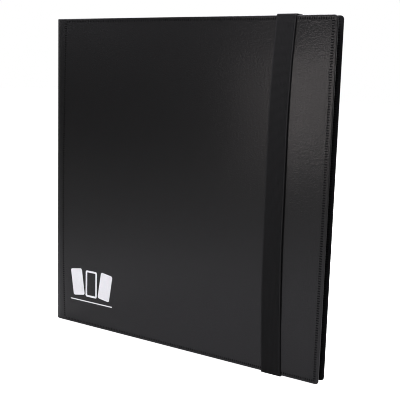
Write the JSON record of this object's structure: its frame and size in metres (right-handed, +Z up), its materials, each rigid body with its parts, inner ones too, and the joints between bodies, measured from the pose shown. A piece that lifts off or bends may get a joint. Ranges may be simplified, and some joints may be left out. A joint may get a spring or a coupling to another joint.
{
  "type": "trading card binder",
  "caption": "Square leatherette binder for trading cards, with side-loading pocket pages bound at the spine and an elastic strap round the covers near the fore-edge.",
  "frame": {"origin": "on the surface the binder stands on, under the middle of its bounding box", "axes": "+Z up the spine, +X from the spine to the fore-edge, -Y out of the front cover"},
  "size_m": [0.32, 0.0142, 0.3276],
  "materials": {
    "leatherette": "black fine-grained leatherette, satin",
    "stiffener": "matt polypropylene board",
    "lining_cloth": "black brushed lining cloth",
    "elastic": "black ribbed woven elastic",
    "page_film": "black backing sheet under clear glossy pocket film",
    "binding_plastic": "black satin plastic",
    "emblem_film": "white satin transfer print"
  },
  "bodies": {
    "spine": {"spine_skin": "leatherette", "spine_board": "stiffener", "spine_lining": "lining_cloth", "page_binding_strip": "binding_plastic"},
    "front_cover": {"front_cover_skin": "leatherette", "front_cover_board": "stiffener", "front_cover_lining": "lining_cloth", "front_emblem": "emblem_film"},
    "back_cover": {"back_cover_skin": "leatherette", "back_cover_board": "stiffener", "back_cover_lining": "lining_cloth", "strap_top_tail": "elastic", "strap_bottom_tail": "elastic"},
    "strap": {"strap_front_run": "elastic", "strap_top_wrap": "elastic", "strap_bottom_wrap": "elastic"},
    "page_01_leaf": {"page_01": "page_film"},
    "page_02_leaf": {"page_02": "page_film"},
    "page_03_leaf": {"page_03": "page_film"},
    "page_04_leaf": {"page_04": "page_film"},
    "page_05_leaf": {"page_05": "page_film"},
    "page_06_leaf": {"page_06": "page_film"},
    "page_07_leaf": {"page_07": "page_film"},
    "page_08_leaf": {"page_08": "page_film"},
    "page_09_leaf": {"page_09": "page_film"},
    "page_10_leaf": {"page_10": "page_film"},
    "page_11_leaf": {"page_11": "page_film"},
    "page_12_leaf": {"page_12": "page_film"},
    "page_13_leaf": {"page_13": "page_film"},
    "page_14_leaf": {"page_14": "page_film"},
    "page_15_leaf": {"page_15": "page_film"},
    "page_16_leaf": {"page_16": "page_film"},
    "page_17_leaf": {"page_17": "page_film"},
    "page_18_leaf": {"page_18": "page_film"},
    "page_19_leaf": {"page_19": "page_film"},
    "page_20_leaf": {"page_20": "page_film"}
  },
  "joints": [
    {"name": "front_hinge", "type": "hinge", "parent": "spine", "child": "front_cover", "pos_m": [-0.16, -0.00585, 0.1638], "axis": [0, 0, -1], "range_deg": [0, 90], "deforming": ["strap_front_run"]},
    {"name": "back_hinge", "type": "hinge", "parent": "spine", "child": "back_cover", "pos_m": [-0.16, 0.00715, 0.1638], "axis": [0, 0, 1], "range_deg": [0, 90]},
    {"name": "strap_slide", "type": "slide", "parent": "back_cover", "child": "strap", "axis": [1, 0, 0], "range_m": [0, 0.068], "stiffness_N_per_m": 25, "deforming": ["strap_top_wrap", "strap_bottom_wrap"]},
    {"name": "page_01_fold", "type": "hinge", "parent": "spine", "child": "page_01_leaf", "pos_m": [-0.1547, -0.00301, 0.1638], "axis": [0, 0, -1], "range_deg": [0, 81.53]},
    {"name": "page_02_fold", "type": "hinge", "parent": "spine", "child": "page_02_leaf", "pos_m": [-0.15435, -0.00262, 0.1638], "axis": [0, 0, -1], "range_deg": [0, 72.95]},
    {"name": "page_03_fold", "type": "hinge", "parent": "spine", "child": "page_03_leaf", "pos_m": [-0.154, -0.00224, 0.1638], "axis": [0, 0, -1], "range_deg": [0, 64.39]},
    {"name": "page_04_fold", "type": "hinge", "parent": "spine", "child": "page_04_leaf", "pos_m": [-0.15365, -0.00185, 0.1638], "axis": [0, 0, -1], "range_deg": [0, 55.81]},
    {"name": "page_05_fold", "type": "hinge", "parent": "spine", "child": "page_05_leaf", "pos_m": [-0.1533, -0.00147, 0.1638], "axis": [0, 0, -1], "range_deg": [0, 47.24]},
    {"name": "page_06_fold", "type": "hinge", "parent": "spine", "child": "page_06_leaf", "pos_m": [-0.15295, -0.00108, 0.1638], "axis": [0, 0, -1], "range_deg": [0, 38.67]},
    {"name": "page_07_fold", "type": "hinge", "parent": "spine", "child": "page_07_leaf", "pos_m": [-0.1526, -0.0007, 0.1638], "axis": [0, 0, -1], "range_deg": [0, 30.1]},
    {"name": "page_08_fold", "type": "hinge", "parent": "spine", "child": "page_08_leaf", "pos_m": [-0.15225, -0.00031, 0.1638], "axis": [0, 0, -1], "range_deg": [0, 21.53]},
    {"name": "page_09_fold", "type": "hinge", "parent": "spine", "child": "page_09_leaf", "pos_m": [-0.1519, 0.00007, 0.1638], "axis": [0, 0, -1], "range_deg": [0, 12.96]},
    {"name": "page_10_fold", "type": "hinge", "parent": "spine", "child": "page_10_leaf", "pos_m": [-0.15155, 0.00046, 0.1638], "axis": [0, 0, -1], "range_deg": [0, 4.38]},
    {"name": "page_11_fold", "type": "hinge", "parent": "spine", "child": "page_11_leaf", "pos_m": [-0.15155, 0.00084, 0.1638], "axis": [0, 0, 1], "range_deg": [0, 4.38]},
    {"name": "page_12_fold", "type": "hinge", "parent": "spine", "child": "page_12_leaf", "pos_m": [-0.1519, 0.00123, 0.1638], "axis": [0, 0, 1], "range_deg": [0, 12.96]},
    {"name": "page_13_fold", "type": "hinge", "parent": "spine", "child": "page_13_leaf", "pos_m": [-0.15225, 0.00161, 0.1638], "axis": [0, 0, 1], "range_deg": [0, 21.53]},
    {"name": "page_14_fold", "type": "hinge", "parent": "spine", "child": "page_14_leaf", "pos_m": [-0.1526, 0.002, 0.1638], "axis": [0, 0, 1], "range_deg": [0, 30.1]},
    {"name": "page_15_fold", "type": "hinge", "parent": "spine", "child": "page_15_leaf", "pos_m": [-0.15295, 0.00238, 0.1638], "axis": [0, 0, 1], "range_deg": [0, 38.67]},
    {"name": "page_16_fold", "type": "hinge", "parent": "spine", "child": "page_16_leaf", "pos_m": [-0.1533, 0.00277, 0.1638], "axis": [0, 0, 1], "range_deg": [0, 47.24]},
    {"name": "page_17_fold", "type": "hinge", "parent": "spine", "child": "page_17_leaf", "pos_m": [-0.15365, 0.00315, 0.1638], "axis": [0, 0, 1], "range_deg": [0, 55.81]},
    {"name": "page_18_fold", "type": "hinge", "parent": "spine", "child": "page_18_leaf", "pos_m": [-0.154, 0.00354, 0.1638], "axis": [0, 0, 1], "range_deg": [0, 64.39]},
    {"name": "page_19_fold", "type": "hinge", "parent": "spine", "child": "page_19_leaf", "pos_m": [-0.15435, 0.00392, 0.1638], "axis": [0, 0, 1], "range_deg": [0, 72.95]},
    {"name": "page_20_fold", "type": "hinge", "parent": "spine", "child": "page_20_leaf", "pos_m": [-0.1547, 0.00431, 0.1638], "axis": [0, 0, 1], "range_deg": [0, 81.53]}
  ],
  "couplings": [
    {"joint": "page_01_fold", "follows": "front_hinge", "ratio": 0.9048},
    {"joint": "page_02_fold", "follows": "front_hinge", "ratio": 0.8095},
    {"joint": "page_03_fold", "follows": "front_hinge", "ratio": 0.7143},
    {"joint": "page_04_fold", "follows": "front_hinge", "ratio": 0.619},
    {"joint": "page_05_fold", "follows": "front_hinge", "ratio": 0.5238},
    {"joint": "page_06_fold", "follows": "front_hinge", "ratio": 0.4286},
    {"joint": "page_07_fold", "follows": "front_hinge", "ratio": 0.3333},
    {"joint": "page_08_fold", "follows": "front_hinge", "ratio": 0.2381},
    {"joint": "page_09_fold", "follows": "front_hinge", "ratio": 0.1429},
    {"joint": "page_10_fold", "follows": "front_hinge", "ratio": 0.0476},
    {"joint": "page_11_fold", "follows": "back_hinge", "ratio": 0.0476},
    {"joint": "page_12_fold", "follows": "back_hinge", "ratio": 0.1429},
    {"joint": "page_13_fold", "follows": "back_hinge", "ratio": 0.2381},
    {"joint": "page_14_fold", "follows": "back_hinge", "ratio": 0.3333},
    {"joint": "page_15_fold", "follows": "back_hinge", "ratio": 0.4286},
    {"joint": "page_16_fold", "follows": "back_hinge", "ratio": 0.5238},
    {"joint": "page_17_fold", "follows": "back_hinge", "ratio": 0.619},
    {"joint": "page_18_fold", "follows": "back_hinge", "ratio": 0.7143},
    {"joint": "page_19_fold", "follows": "back_hinge", "ratio": 0.8095},
    {"joint": "page_20_fold", "follows": "back_hinge", "ratio": 0.9048}
  ]
}
